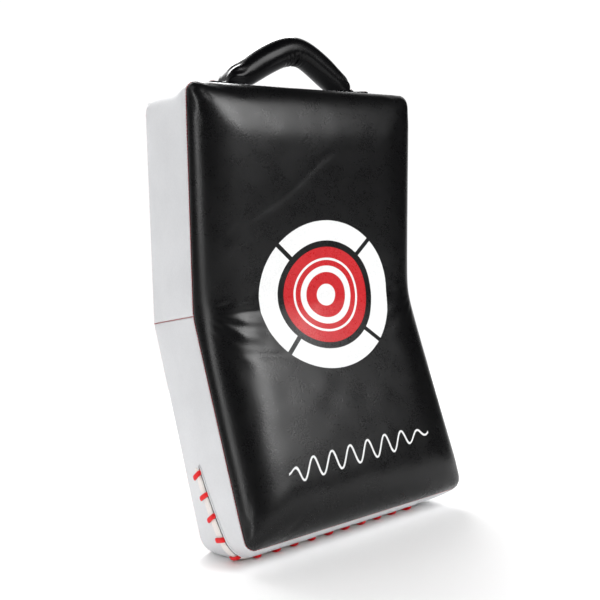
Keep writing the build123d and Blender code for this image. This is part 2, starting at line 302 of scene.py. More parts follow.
class Block:
    """The body's surface as six joined grids, with its places and its panels."""

    def __init__(self, step):
        corner = corner_steps(step)
        self.front_inner = EDGE_RADIUS - FACE_CROWN
        self.seam = len(corner) + 1
        xs = rounded_steps(-HALF_WIDTH, HALF_WIDTH, step)
        ss = rounded_steps(-LOWER_LENGTH, UPPER_LENGTH, step, breaks=[0])
        gusset = np.linspace(0, REAR_SEAM, round(REAR_SEAM / step) + 1)
        qs = np.concatenate([self.front_inner - corner, [self.front_inner], gusset])
        self.bend = int(np.argmin(np.abs(ss)))
        numbers = np.indices((len(xs), len(ss), len(qs)))
        last = np.reshape(numbers[0].shape, (3, 1, 1, 1)) - 1
        shell = np.any((numbers == 0) | (numbers == last), axis=0)
        self.index = np.full(shell.shape, -1)
        self.index[shell] = np.arange(shell.sum())
        i, j, k = numbers[:, shell]
        self.place = self.rounded(xs[i], ss[j], qs[k], k == len(qs) - 1)
        self.faces, self.panels = self.quads()

    def rounded(self, x, s, q, rear):
        """Places on the rounded block for grid coordinates. rear marks the back panel's."""
        core = np.stack([
            np.clip(x, EDGE_RADIUS - HALF_WIDTH, HALF_WIDTH - EDGE_RADIUS),
            np.clip(s, EDGE_RADIUS - LOWER_LENGTH, UPPER_LENGTH - EDGE_RADIUS),
            np.maximum(q, self.front_inner),
        ], -1)
        away = np.stack([x, s, q], -1) - core
        out = core + unit(away) * EDGE_RADIUS
        flat = np.maximum(np.abs(away[:, 0]), np.abs(away[:, 1]))
        behind = core + unit(away) * flat[:, None]
        rise = np.clip(from_edge(x, s) / REAR_ROUND_WIDTH, 0, 1)
        behind[:, 2] = GUSSET_DEPTH - REAR_SEAM_SET_IN * (1 - np.sqrt(1 - (1 - rise) ** 2))
        place = np.where(rear[:, None], behind, out)
        front = place[:, 2] < self.front_inner - 0.01 * MM
        height = pillow_profile(place[front, 0], place[front, 1])
        place[front, 2] = self.front_inner - EDGE_RADIUS * height
        place[:, 0], place[:, 1] = sharper_corners(*place.T)
        place[:, 1] += end_crown(place[:, 1], place[:, 2])
        place[:, 0] += side_bulge(place[:, 0], place[:, 1], place[:, 2])
        return place

    def quads(self):
        """All quads, wound outwards, and the panel that each is sewn from."""
        index, seam, bend = self.index, self.seam, self.bend
        faces, panels = [], []

        def add(array, flip, panel):
            quads = grid_faces(array, flip)
            faces.append(quads)
            panels.extend([panel] * len(quads))

        add(index[:, :, 0], False, "strike_face")
        add(index[:, :, -1], True, "back_panel")
        for side, flip in ((0, False), (-1, True)):
            add(index[side, :, :seam + 1], flip, "strike_face")
            add(index[side, :bend + 1, seam:], flip, "gusset_lower")
            add(index[side, bend:, seam:], flip, "gusset_upper")
        for end, flip, panel in ((0, True, "gusset_lower"), (-1, False, "gusset_upper")):
            add(index[:, end, :seam + 1], flip, "strike_face")
            add(index[:, end, seam:], flip, panel)
        return np.concatenate(faces), np.array(panels)


# ---- the stuffed covers ----
def on_seam(place):
    """Which vertices are on a seam: the strike face's, the back's, or the gusset's join."""
    x, s, q = np.abs(place.T)
    front = q < SAME_PLACE
    rear = np.abs(q - REAR_SEAM) < SAME_PLACE
    join = (s < SAME_PLACE) & (place[:, 2] > 0) & (x > HALF_WIDTH - 5 * MM)
    return front, rear, join


def swollen(block, points):
    """The points after a short cloth simulation: pressure swells each panel between its seams."""
    piece = new_piece("swelling", points, block.faces)
    held = piece.vertex_groups.new(name="held")
    seam = np.any(on_seam(block.place), axis=0)
    # The seams are fixed, and the foam holds the rest a little and unevenly.
    grip_of_foam = 0.12 + 0.08 * soft_noise(block.place, 60 * MM, 3)
    for number, weight in enumerate(np.where(seam, 1, grip_of_foam)):
        held.add([number], float(weight), "REPLACE")
    cloth = piece.modifiers.new("cloth", "CLOTH")
    cloth.settings.quality = 4
    cloth.settings.vertex_group_mass = held.name
    cloth.settings.use_pressure = True
    cloth.settings.uniform_pressure_force = CLOTH_PRESSURE
    cloth.settings.effector_weights.gravity = 0
    scene = bpy.context.scene
    for number in range(CLOTH_FRAMES):
        scene.frame_set(number + 1)
    evaluated = piece.evaluated_get(bpy.context.evaluated_depsgraph_get())
    moved = np.array([vertex.co for vertex in evaluated.data.vertices]) - points
    scene.frame_set(1)
    bpy.data.objects.remove(piece)
    length = np.linalg.norm(moved, axis=1, keepdims=True)
    on_back = block.place[:, 2:] > REAR_SEAM + SAME_PLACE
    limit = np.where(on_back, BACK_SWELL_LIMIT, SWELL_LIMIT)
    return points + moved * limit * np.tanh(length / limit) / np.maximum(length, 1e-9)


def subdivided(block, points, levels):
    """The block as a smooth fine mesh: points, places, quads and each quad's panel."""
    names = sorted(set(block.panels))
    tags = [names.index(panel) for panel in block.panels]
    stand_ins = [bpy.data.materials.new(name) for name in names]
    piece = new_piece("body", points, block.faces, stand_ins, tags, block.place)
    mesh = piece.data
    ends = np.array([edge.vertices[:] for edge in mesh.edges])
    _, rear, join = on_seam(block.place)
    sharpness = 0.9 * (rear[ends].all(1) | join[ends].all(1))
    crease = mesh.attributes.new("crease_edge", "FLOAT", "EDGE")
    crease.data.foreach_set("value", sharpness.astype(np.float32))
    piece.modifiers.new("smooth", "SUBSURF").levels = levels
    fine = bpy.data.meshes.new_from_object(piece.evaluated_get(bpy.context.evaluated_depsgraph_get()))
    fine_points = np.array([vertex.co for vertex in fine.vertices])
    place = np.array([item.vector for item in fine.attributes["place"].data])
    quads = np.array([polygon.vertices[:] for polygon in fine.polygons])
    panels = np.array([names[polygon.material_index] for polygon in fine.polygons])
    bpy.data.objects.remove(piece)
    bpy.data.meshes.remove(fine)
    for material in stand_ins:
        bpy.data.materials.remove(material)
    return fine_points, place, quads, panels


def vertex_normals(points, quads):
    """The outward normal at each vertex of a mesh of quads."""
    corner = points[quads]
    face_normal = np.cross(corner[:, 2] - corner[:, 0], corner[:, 3] - corner[:, 1])
    total = np.zeros_like(points)
    for column in range(4):
        np.add.at(total, quads[:, column], face_normal)
    return unit(total)


# Creases and folds of the strike face, in millimetres: how far the leather stands out along
# a stroke, the stroke's ends as (x, s), and its width.
FACE_FOLDS = (
    (-0.28, (30, 208), (-150, 88), 9),
    (0.18, (30, 192), (-148, 72), 14),
    (-0.6, (-160, 6), (-75, -6), 9),
    (0.7, (-152, -26), (-95, -36), 16),
    (-0.5, (-150, -52), (-60, -72), 9),
    (-0.6, (165, 4), (100, -8), 10),
)


def stroke(x, s, start, end, width):
    """1 along a slightly wavy stroke on the face, fading to 0 at width from it and at its ends."""
    run = np.array(end) - np.array(start)
    length = np.hypot(*run)
    along = ((x - start[0]) * run[0] + (s - start[1]) * run[1]) / length
    across = ((s - start[1]) * run[0] - (x - start[0]) * run[1]) / length
    across = across + 2.5 * MM * np.sin(along / (21 * MM))
    ends = smooth(along / (25 * MM)) * smooth((length - along) / (25 * MM))
    return bump(across / width) * ends


def fan(x, s, centre, count, height, seed):
    """Wrinkles that spread to the right from a point on the left edge."""
    across = x - centre[0]
    up = s - centre[1]
    distance = np.hypot(across, up)
    angle = np.arctan2(up, across)
    wander = 1.6 * soft_noise(np.stack([across, up, 0 * up], -1), 45 * MM, seed)
    near = smooth((distance - 14 * MM) / (22 * MM)) * (1 - smooth((distance - 55 * MM) / (75 * MM)))
    spread = bump((angle + 0.35) / 1.1)
    return height * near * spread * np.sin(angle * count + wander)


def face_relief(place):
    """How far the strike face stands out from its plain rounded shape."""
    x, s, _ = place.T
    relief = 0.55 * MM * soft_noise(place, 75 * MM, 11) + 0.22 * MM * soft_noise(place, 28 * MM, 12)
    relief *= smooth(from_edge(x, s) / (25 * MM))
    for height, start, end, width in FACE_FOLDS:
        start, end = np.array(start) * MM, np.array(end) * MM
        relief += height * MM * stroke(x, s, start, end, width * MM)
    relief += fan(x, s, (-178 * MM, 2 * MM), 19, 0.38 * MM, 21)
    relief += fan(-x, s, (-178 * MM, -2 * MM), 17, 0.28 * MM, 22)
    return relief


def gusset_relief(place):
    """The gusset's soft unevenness, which fades out towards its seams."""
    uneven = 0.5 * MM * soft_noise(place, 55 * MM, 31) + 0.18 * MM * soft_noise(place, 20 * MM, 32)
    q = place[:, 2]
    return uneven * smooth(np.minimum(q, REAR_SEAM - q) / (14 * MM))


def seam_relief(place):
    """The groove of each seam, and the small puckers beside it."""
    x, s, q = place.T
    from_rear = np.where(q > REAR_SEAM + SAME_PLACE, np.maximum(from_edge(x, s), 0), np.abs(q - REAR_SEAM))
    on_side = (np.abs(x) > HALF_WIDTH - 6 * MM) & (q > 0)
    distance = np.minimum.reduce([np.abs(q), from_rear, np.where(on_side, np.abs(s), 1)])
    groove = -SEAM_DIP * bump(distance / SEAM_DIP_WIDTH)
    wander = 2.2 * soft_noise(place, 30 * MM, 41)
    size = 0.16 * MM + 0.12 * MM * soft_noise(place, 40 * MM, 42)
    beside = smooth(distance / (2 * MM)) * bump(distance / (11 * MM))
    pucker = size * np.sin((x + s) / (1.15 * MM) + wander) * beside
    return groove + pucker * (np.abs(q - REAR_SEAM) > SAME_PLACE)


def above_floor(points):
    """Points pressed up to the floor, softly."""
    lifted = points.copy()
    lifted[:, 2] = soft_maximum(points[:, 2], 0, FLOOR_SOFTNESS)
    return lifted


class Body:
    """The finished outside of the stuffed covers."""

    def __init__(self):
        coarse = Block(BODY_STEP)
        points = bent(*coarse.place.T)
        points = swollen(coarse, points)
        levels = 2
        points, self.place, self.quads, self.panels = subdivided(coarse, points, levels)
        relief = np.where(self.place[:, 2] <= 0, face_relief(self.place), gusset_relief(self.place))
        relief += seam_relief(self.place)
        self.points = above_floor(points + vertex_normals(points, self.quads) * relief[:, None])
        self.normals = vertex_normals(self.points, self.quads)
        self.tree = BVHTree.FromPolygons(self.points.tolist(), self.quads.tolist())

    def panel(self, name, material, nodes):
        """One panel as a piece of its own, with its edges turned in at the seams."""
        quads = self.quads[self.panels == name]
        used, local = np.unique(quads, return_inverse=True)
        quads = local.reshape(quads.shape)
        points, place, quads = turned_in(self.points[used], self.place[used], quads, self.normals[used])
        piece = new_piece(name + "_panel", above_floor(points), quads, [material], place=place)
        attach(piece, "root")
        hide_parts(*nodes)
        return piece

    def on_skin(self, points):
        """The nearest places on the covers."""
        return np.array([self.tree.find_nearest(Vector(point))[0] for point in points])

    def seam(self, kind):
        """The line of a seam as points and normals. kind is front, rear, join_left or join_right."""
        front, rear, join = on_seam(self.place)
        x, s, q = self.place.T
        if kind in ("front", "rear"):
            chosen = np.flatnonzero(front if kind == "front" else rear)
            turn = np.arctan2(s[chosen], x[chosen] * UPPER_LENGTH / HALF_WIDTH)
            chosen = chosen[np.argsort(turn)]
            chosen = np.append(chosen, chosen[0])
        else:
            side = x < 0 if kind == "join_left" else x > 0
            chosen = np.flatnonzero(join & side)
            chosen = chosen[np.argsort(q[chosen])]
        return self.points[chosen], self.normals[chosen]


def turned_in(points, place, quads, normals):
    """A panel with a strip along its border that turns in through the seam."""
    sides = np.concatenate([quads[:, [side, (side + 1) % 4]] for side in range(4)])
    _, first, count = np.unique(np.sort(sides, 1), axis=0, return_index=True, return_counts=True)
    border = sides[first[count == 1]]
    edge = np.unique(border)
    renumber = np.zeros(len(points), int)
    renumber[edge] = len(points) + np.arange(len(edge))
    middle = unit(points.mean(0) - points[edge])
    inside = points[edge] - normals[edge] * SEAM_TURN_IN + middle * 0.3 * MM
    strip = np.column_stack([border[:, ::-1], renumber[border]])
    return (np.concatenate([points, inside]), np.concatenate([place, place[edge]]),
            np.concatenate([quads, strip]))


# ---- thread ----
SEAM_STITCH = (3.7 * MM, 2.9 * MM, 0.95 * MM)       # pitch, length and width
TAB_STITCH = (3.4 * MM, 2.7 * MM, 0.9 * MM)


def resampled(points, normals, pitch):
    """Evenly spaced places on a line, with the direction of the line and the normal at each."""
    distance = distance_along(points)
    count = max(1, round(distance[-1] / pitch))
    stops = (np.arange(count) + 0.5) * distance[-1] / count
    ahead = at_distance(points, distance, stops + 0.4 * pitch)
    behind = at_distance(points, distance, stops - 0.4 * pitch)
    normal = unit(at_distance(normals, distance, stops))
    return at_distance(points, distance, stops), unit(ahead - behind), normal


def bead(length, width, rings=7, sides=8):
    """A stitch: a rounded bead of thread along X, its ends curving down. Points and faces."""
    u = np.linspace(-1, 1, rings)
    angle = np.arange(sides) * 2 * math.pi / sides
    radius = width / 2 * np.sqrt(np.clip(1 - np.abs(u) ** 3, 0.04, 1))
    points = np.stack([
        np.repeat(u * length / 2, sides),
        np.outer(radius, np.cos(angle)).ravel(),
        (np.outer(radius, np.sin(angle)) - 0.35 * width * (u ** 2)[:, None]).ravel(),
    ], -1)
    return points, tube_faces(rings, sides, True)


def stitched(name, runs, stitch, lift, material, seed, node):
    """Rows of stitches as one piece. runs is a list of lines, each points and normals."""
    rng = np.random.default_rng(seed)
    pitch, length, width = stitch
    shape, shape_faces = bead(length, width)
    points, faces, local = [], [], []
    for line, normals in runs:
        for place, ahead, normal in zip(*resampled(line, normals, pitch)):
            ahead = unit(ahead + np.cross(normal, ahead) * rng.normal(0, 0.06))
            across = np.cross(normal, ahead)
            up = np.cross(ahead, across)
            grow = 1 + rng.normal(0, 0.04)
            faces += [tuple(len(points) * len(shape) + number for number in face) for face in shape_faces]
            points.append(place + normal * lift + (shape * grow) @ np.stack([ahead, across, up]))
            local.append(shape + [rng.uniform(0, 1), 0, 0])
    points = np.concatenate(points)
    points[:, 2] = np.maximum(points[:, 2], 0.1 * MM)
    thread = new_piece(name, points, faces, [material], place=np.concatenate(local))
    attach(thread, "root")
    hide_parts(node)


# ---- the laced closure ----
TAPE_WIDTH = 16 * MM
TAPE_WAIST = 0.72                     # the tape's width at each bar, as a share
SLIT_WIDTH = 3 * MM
LIP_WIDTH = 3 * MM                    # of the gusset's rolled edge beside the slit
CLOSURE_START = 178 * MM
CLOSURE_SIDE_DEPTH = 77 * MM
CLOSURE_DEPTH = 57 * MM
CLOSURE_END_X = 128 * MM
CLOSURE_RADIUS = 30 * MM
CLOSURE_TURN = math.pi / 2 * CLOSURE_RADIUS
CLOSURE_CORNER = LOWER_LENGTH + BOTTOM_CROWN - CLOSURE_RADIUS
CLOSURE_SIDE = CLOSURE_CORNER - CLOSURE_START
CLOSURE_LENGTH = CLOSURE_SIDE + CLOSURE_TURN + CLOSURE_END_X + HALF_WIDTH - CLOSURE_RADIUS
RIBBON_STEP = 1.6 * MM
RIBBON_END = 5 * MM                   # the length over which a strip rounds off at its ends
LACE_PITCH = 27.5 * MM
LACE_START = LACE_PITCH / 3
LACE_COUNT = 15
LACE_SIZE = (24 * MM, 6.4 * MM, 3.6 * MM)
LACE_LIFT = 1.6 * MM


def closure_stop(distance):
    """A place on the closure's middle line, with the directions onwards, outwards and back."""
    slope = (CLOSURE_DEPTH - CLOSURE_SIDE_DEPTH) / CLOSURE_SIDE
    if distance < CLOSURE_SIDE:
        outward = -RIGHT
        onward = unit(DOWN + BACK_LOWER * slope)
        depth = CLOSURE_SIDE_DEPTH + slope * distance
        place = BEND + DOWN * (CLOSURE_START + distance) + BACK_LOWER * depth - RIGHT * HALF_WIDTH
    else:
        angle = min((distance - CLOSURE_SIDE) / CLOSURE_RADIUS, math.pi / 2)
        outward = -RIGHT * math.cos(angle) + DOWN * math.sin(angle)
        onward = RIGHT * math.sin(angle) + DOWN * math.cos(angle)
        past = max(distance - CLOSURE_SIDE - CLOSURE_TURN, 0)
        place = (BEND + DOWN * CLOSURE_CORNER + BACK_LOWER * CLOSURE_DEPTH
                 + RIGHT * (CLOSURE_RADIUS - HALF_WIDTH + past) + outward * CLOSURE_RADIUS)
    back = np.cross(outward, onward)
    return place, onward, outward, back if back @ BACK_LOWER > 0 else -back


def tape_waist(stop):
    """The tape's width as a share. It is widest half way between two bars."""
    swing = abs(math.sin(math.pi * (stop - LACE_START) / LACE_PITCH))
    return TAPE_WAIST + (1 - TAPE_WAIST) * swing


def ribbon(body, name, low, high, lift, crown, material, waist=None):
    """A strip along the closure, between two offsets behind its middle line, laid on the skin."""
    stops = np.arange(0, CLOSURE_LENGTH, RIBBON_STEP)
    across = np.linspace(-1, 1, 13)
    raw, outs, local = [], [], []
    for stop in stops:
        place, _, outward, back = closure_stop(stop)
        taper = np.sqrt(np.clip(min(stop, CLOSURE_LENGTH - stop) / RIBBON_END, 0.02, 1))
        half = (high - low) / 2 * taper * (waist(stop) if waist else 1)
        for u in across:
            raw.append(place + back * ((low + high) / 2 + u * half))
            outs.append(outward)
            local.append((stop, u * half, 0))
    outs = np.array(outs)
    profile = lift + crown * (1 - np.abs(across) ** 4)
    profile[[0, -1]] = -0.8 * MM
    points = body.on_skin(raw) + outs * np.tile(profile, len(stops))[:, None]
    quads = grid_faces(np.arange(len(points)).reshape(len(stops), len(across)))
    corner = points[quads[0]]
    if np.cross(corner[1] - corner[0], corner[2] - corner[0]) @ outs[0] < 0:
        quads = quads[:, ::-1]
    piece = new_piece(name, np.maximum(points, [-1, -1, 0.15 * MM]), quads, [material], place=local)
    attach(piece, "root")
    return piece


def lace_bar(length, width, height, rings=25, sides=18):
    """A flat braided bar along X that arches up and dives down at its ends."""
    u = np.linspace(-1, 1, rings)
    angle = np.arange(sides) * 2 * math.pi / sides
    swell = np.clip(1 - np.abs(u) ** 12, 0, 1) ** 0.5
    arch = 0.7 * height * (1 - np.abs(u) ** 4) - 0.35 * height
    half_width = width / 2 * (0.55 + 0.45 * swell)
    half_width[[0, -1]] = 0
    half_thick = height / 2 * (0.55 + 0.45 * swell)
    flat = signed_power(np.cos(angle), 0.75)
    thick = signed_power(np.sin(angle), 0.9)
    points = np.stack([
        np.repeat(u * length / 2, sides),
        np.outer(half_width, flat).ravel(),
        (arch[:, None] + np.outer(half_thick, thick)).ravel(),
    ], -1)
    return points, tube_faces(rings, sides, False)


def lacing(body, material):
    """The lace's bars over the tape and the slit."""
    rng = np.random.default_rng(7)
    shape, shape_faces = lace_bar(*LACE_SIZE)
    points, faces, local = [], [], []
    for number in range(LACE_COUNT):
        place, onward, outward, back = closure_stop(LACE_START + LACE_PITCH * number)
        slant = math.radians(1 + rng.normal(0, 4))
        along = back * math.cos(slant) + onward * math.sin(slant)
        across = np.cross(outward, along)
        grow = shape * [1 + rng.normal(0, 0.03), 1 + rng.normal(0, 0.04), 1]
        middle = body.on_skin([place])[0] + outward * LACE_LIFT
        points.append(middle + grow @ np.stack([along, across, outward]))
        local.append(shape + [0.1 * number, 0, 0])
        faces += [tuple(number * len(shape) + corner for corner in face) for face in shape_faces]
    points = np.maximum(np.concatenate(points), [-1, -1, 0.2 * MM])
    piece = new_piece("closure_lace", points, faces, [material], place=np.concatenate(local))
    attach(piece, "root")
    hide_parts("closure_lacing")


def closure(body, materials):
    """A dark strip in the stuffing slit whose colour is painted shade, the tape beside it, the slit's lip
    and the lacing.
    """
    front = -TAPE_WIDTH / 2
    slit = front - SLIT_WIDTH
    # The first strip is painted shade: a near-black ribbon that stands in for the shadow inside the slit's
    # opening.
    ribbon(body, "closure_slit_painted_shade", slit, front + 1.5 * MM, 0.12 * MM, 0.05 * MM,
           materials["painted_slit_shade"])
    tape = ribbon(body, "closure_tape_woven", front, -front, 0.5 * MM, 0.9 * MM,
                  materials["tape"], tape_waist)
    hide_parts("closure_tape")
    ribbon(body, "closure_lip", slit - LIP_WIDTH, slit + 0.4 * MM, 0.25 * MM, 0.9 * MM,
           materials["gusset"])
    lacing(body, materials["lace"])


# ---- the handles and loops ----
HINGE_LIFT = 3 * MM                   # a loop's swing axis, above the surface it is sewn to
TAB_THICKNESS = 2.5 * MM
TAB_CURL = 1.6 * MM                   # how far a tab's outer end stands off
TAB_CORNER = 0.32                     # how round a tab's corners are
FLAP_HALF = 1.6 * MM                  # half the thickness of a grip's pinched end
FLAP_WIDTH = 26 * MM
FLAP_REACH = 14 * MM                  # how far a grip's flaps reach past its landings
LEFT_END = (12 * MM, 0.32)            # how far past its landing a grip is stuffed, and the share
RIGHT_END = (5 * MM, 0.26)            # of the landing's distance over which it rounds off
APEX_SOFTNESS = 21 * MM
APEX_LEAN = 0.15                      # how far a grip leans to the right, as a share of its height
BAND_HALF_WIDTH = 27 * MM
BAND_HALF_HEIGHT = 6.2 * MM
BAND_END_HALF_HEIGHT = 2.4 * MM
BAND_ARC = math.radians(56)           # half the angle of an arm band's round part
BAND_LANDING = 24 * MM                # the length of the flat ends that are sewn down
LINE_POINTS = 20


class Loop:
    """A loop's own frame: X between its sewn ends, Y across it and Z away from the body."""

    def __init__(self, name, outward, span, height, tab_end, tab_width):
        self.name = name
        self.axes = np.stack([RIGHT, np.cross(outward, RIGHT), outward])
        self.origin = HINGES[name]
        self.outward = outward
        self.height = height
        self.radius = (span ** 2 / 4 + height ** 2) / (2 * height)
        self.tab_end = tab_end
        self.tab_width = tab_width

    def world(self, points):
        return self.origin + np.asarray(points) @ self.axes

    def arch_line(self, last_angle, landing, count):
        """The middle line in the XZ plane: an arc, an easy curve down at each side, and flat ends."""
        angles = np.linspace(0, last_angle, 60)
        arc = np.stack([self.radius * np.sin(angles), self.radius * (np.cos(angles) - 1) + self.height], -1)
        pull = 0.5 * (landing[0] - arc[-1, 0])
        first = arc[-1] + np.array([math.cos(last_angle), -math.sin(last_angle)]) * pull
        second = landing - [pull, 0]
        t = np.linspace(0, 1, 40)[1:, None]
        curve = ((1 - t) ** 3 * arc[-1] + 3 * (1 - t) ** 2 * t * first
                 + 3 * (1 - t) * t ** 2 * second + t ** 3 * landing)
        flat = np.linspace(landing, [self.tab_end, landing[1]], 20)[1:]
        half = np.concatenate([arc, curve, flat])
        line = np.concatenate([half[:0:-1] * [-1, 1], half])
        distance = distance_along(line)
        stops = np.linspace(0, distance[-1], count)
        return at_distance(line, distance, stops), stops - distance[-1] / 2

    def limb_line(self, reach, rest, end, count):
        """The middle line of two nearly straight limbs that meet in a soft apex, and lie on their rests.

        reach is where a limb would meet the hinge line. rest(x) is the lowest that the middle may
        be at x. The line comes with its distances from its middle and the x of each point's rest.
        """
        top = self.height + APEX_SOFTNESS
        slope = math.sqrt(top ** 2 - APEX_SOFTNESS ** 2) / reach
        x = np.linspace(-end, end, 4 * count)
        z = soft_maximum(top - np.sqrt((slope * x) ** 2 + APEX_SOFTNESS ** 2), rest(x), 3 * MM)
        line = np.stack([x + APEX_LEAN * np.maximum(z, 0), z], -1)
        distance = distance_along(line)
        stops = np.linspace(0, distance[-1], count)
        return at_distance(line, distance, stops), stops - distance[-1] / 2, np.interp(stops, distance, x)


def swept(line, half_widths, half_heights, roundness, relief, sides=72, upright=0):
    """A closed surface swept along a line in the XZ plane. Points, places and faces.

    roundness is each section's exponent, 2 for an ellipse and more for a squarer one.
    upright is 1 where the section stands straight up and 0 where it is square to the line.
    relief(run, angle) is how far the surface stands out from the plain section.
    """
    tangent = unit(np.gradient(line, axis=0))
    tangent[:, 1] *= 1 - upright
    tangent = unit(tangent)
    run = distance_along(line)
    run, angle = np.meshgrid(run - run[-1] / 2, np.arange(sides) * 2 * math.pi / sides, indexing="ij")
    power = 2 / np.asarray(roundness)[:, None]
    section = np.stack([signed_power(np.cos(angle), power), signed_power(np.sin(angle), power)], -1)
    half_size = np.stack([half_widths, half_heights], -1)[:, None]
    out = unit(section / np.maximum(half_size, 1 * MM))
    across, away = np.moveaxis(section * half_size + out * relief(run, angle)[..., None], -1, 0)
    points = np.stack([
        line[:, :1] - tangent[:, 1:] * away,
        across,
        line[:, 1:] + tangent[:, :1] * away,
    ], -1).reshape(-1, 3)
    place = np.stack([run, across, away], -1).reshape(-1, 3)
    return points, place, tube_faces(len(line), sides, True)


def rounded_tip(run, length):
    """The size of a section as a share: full, but rounding off within length of both ends."""
    return np.sqrt(np.clip((run[-1] - np.abs(run)) / length, 0.05, 1))


def loop_cover(loop, kind, surface, material, blend_height, slot, fill, *nodes):
    """A loop's cover as a piece of its own in the world, taking the place of the loop's cover, foam,
    webbing and the other given nodes.
    """
    points, place, faces = surface
    cover = new_piece(f"{loop.name}_{kind}", loop.world(points), faces, [material], place=place)
    tuple(loop.world([0, 0, -HINGE_LIFT]))
    tuple(loop.world([0, 0, blend_height]))
    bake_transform(cover)
    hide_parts(*[f"{loop.name}_{node}" for node in ("cover", "foam", "webbing", *nodes)])


def tube_relief(half_length, radius, seed):
    """The wrinkles of a padded tube: bunched inside the arch, and gathered at its pinched ends."""
    def relief(run, angle):
        inner = smooth((-np.sin(angle) - 0.1) / 0.7)
        outer = smooth((np.sin(angle) + 0.2) / 0.9)
        places = np.stack([run, radius * np.cos(angle), radius * np.sin(angle)], -1)
        wander = 1.7 * soft_noise(places, 16 * MM, seed)
        bunch = 1.2 * MM * inner * bump((run - 3 * MM) / (30 * MM)) * np.sin(run / (1.2 * MM) + wander)
        kink = -2.6 * MM * inner * bump((run - 4 * MM) / (6 * MM))
        near_end = smooth((np.abs(run) - half_length + 40 * MM) / (22 * MM))
        swing = angle * 9 + 2.2 * soft_noise(places, 30 * MM, seed + 1)
        pleats = 0.75 * MM * near_end * np.sin(swing)
        soft = 0.45 * MM * soft_noise(places, 24 * MM, seed + 2) * (1 - 0.5 * outer)
        return (bunch + kink + pleats + soft) * smooth((half_length - np.abs(run)) / (12 * MM))
    return relief


def tube_height(x, radius, landing):
    """A grip's half height at x: full to near its ends, where it rounds off to a flap."""
    left = np.clip((landing + LEFT_END[0] + x) / (LEFT_END[1] * landing), 0, 1)
    right = np.clip((landing + RIGHT_END[0] - x) / (RIGHT_END[1] * landing), 0, 1)
    return FLAP_HALF + (radius - FLAP_HALF) * np.sqrt(1 - (1 - np.minimum(left, right)) ** 2)


def padded_tube(loop, radius, landing, material, seed):
    """A stuffed leather tube whose ends are pinched flat where they are sewn down."""
    ground = TAB_THICKNESS - HINGE_LIFT

    def rest(x):
        return ground + 0.5 * tube_height(x, radius, landing)

    line, run, x = loop.limb_line(landing + 4 * MM, rest, landing + FLAP_REACH, 280)
    half_height = tube_height(x, radius, landing)
    pinch = smooth(1 - (half_height - FLAP_HALF) / (radius - FLAP_HALF))
    near_end = smooth((np.abs(x) - 0.30 * landing) / (0.70 * landing))
    half_width = radius * (1 + 0.08 * near_end) - (radius - FLAP_WIDTH / 2) * pinch
    tip = rounded_tip(run, 2.5 * MM)
    relief = tube_relief(run[-1], radius, seed)
    points, place, faces = swept(line, half_width * tip, half_height * tip,
                                 2 + pinch + 0.2 * near_end, relief, upright=near_end)
    points[:, 2] = soft_maximum(points[:, 2], ground + 0.2 * MM, 0.4 * MM)
    loop_cover(loop, "tube", (points, place, faces), material, 24 * MM, "handle_leather", 0.85)


def curl(u):
    """How far a tab stands off its panel, at u from -1 at its inner end to 1 at its outer end."""
    return TAB_CURL * smooth((u + 0.4) / 1.2)


def leather_tab(body, loop, side, inner_x, material):
    """A flat tab sewn to the body beside a loop, with rolled edges and rounded outer corners."""
    word = "left" if side < 0 else "right"
    length = loop.tab_end - inner_x
    rows, columns = 41, 31
    u, v = np.meshgrid(np.linspace(-1, 1, rows), np.linspace(-1, 1, columns), indexing="ij")
    x = u * np.sqrt(1 - TAB_CORNER * v ** 8 / 2)
    y = v * np.sqrt(1 - TAB_CORNER * u ** 8 / 2)
    edge = np.maximum(np.abs(u), np.abs(v))
    rim = np.clip((1 - edge) / 0.12, 0, 1)
    sewn = bump((1 - edge - 0.2) / 0.09)
    wander = soft_noise(np.stack([x * length, y * loop.tab_width, 0 * x], -1), 14 * MM, 51 + side)
    thick = TAB_THICKNESS * np.sqrt(1 - (1 - rim) ** 2) - 0.55 * MM * sewn + 0.25 * MM * wander * rim
    thick = np.where(edge > 0.99, 0, thick + curl(x))
    place = np.stack([x * length / 2, y * loop.tab_width / 2, 0 * x], -1).reshape(-1, 3)
    flat = place * [side, 1, 1] + [side * (inner_x + loop.tab_end) / 2, 0, -HINGE_LIFT]
    points = body.on_skin(loop.world(flat)) + loop.outward * (thick.reshape(-1, 1) - 0.2 * MM)
    faces = grid_faces(np.arange(rows * columns).reshape(rows, columns), side < 0)
    piece = new_piece(f"{loop.name}_{word}_tab", points, faces, [material], place=place)
    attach(piece, "root")
    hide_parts(f"{loop.name}_tab_{word}")


def sewn_line(body, loop, side, start, end, lift, curl_start=None):
    """A row of stitches at one side of a loop, from start to end, each (x, y), as points and normals.

    With curl_start, the row lies on a tab that stands off from there to its outer end.
    """
    t = np.linspace(0, 1, LINE_POINTS)[:, None]
    x, y = (np.array(start) * (1 - t) + np.array(end) * t).T
    height = np.full(len(x), lift)
    if curl_start is not None:
        height += curl(2 * (x - curl_start) / (loop.tab_end - curl_start) - 1)
    skin = body.on_skin(loop.world(np.column_stack([side * x, y, np.full(len(x), -HINGE_LIFT)])))
    return skin + loop.outward * height[:, None], np.tile(loop.outward, (len(x), 1))


def stitched_box(inner, outer, half_width, crossed=False):
    """The rows of a stitched box beside a loop, and its diagonals, each from one (x, y) to another."""
    corners = [(inner, -half_width), (outer, -half_width), (outer, half_width), (inner, half_width)]
    rows = list(zip(corners, corners[1:] + corners[:1]))
    return rows + [corners[::2], corners[1::2]] if crossed else rows


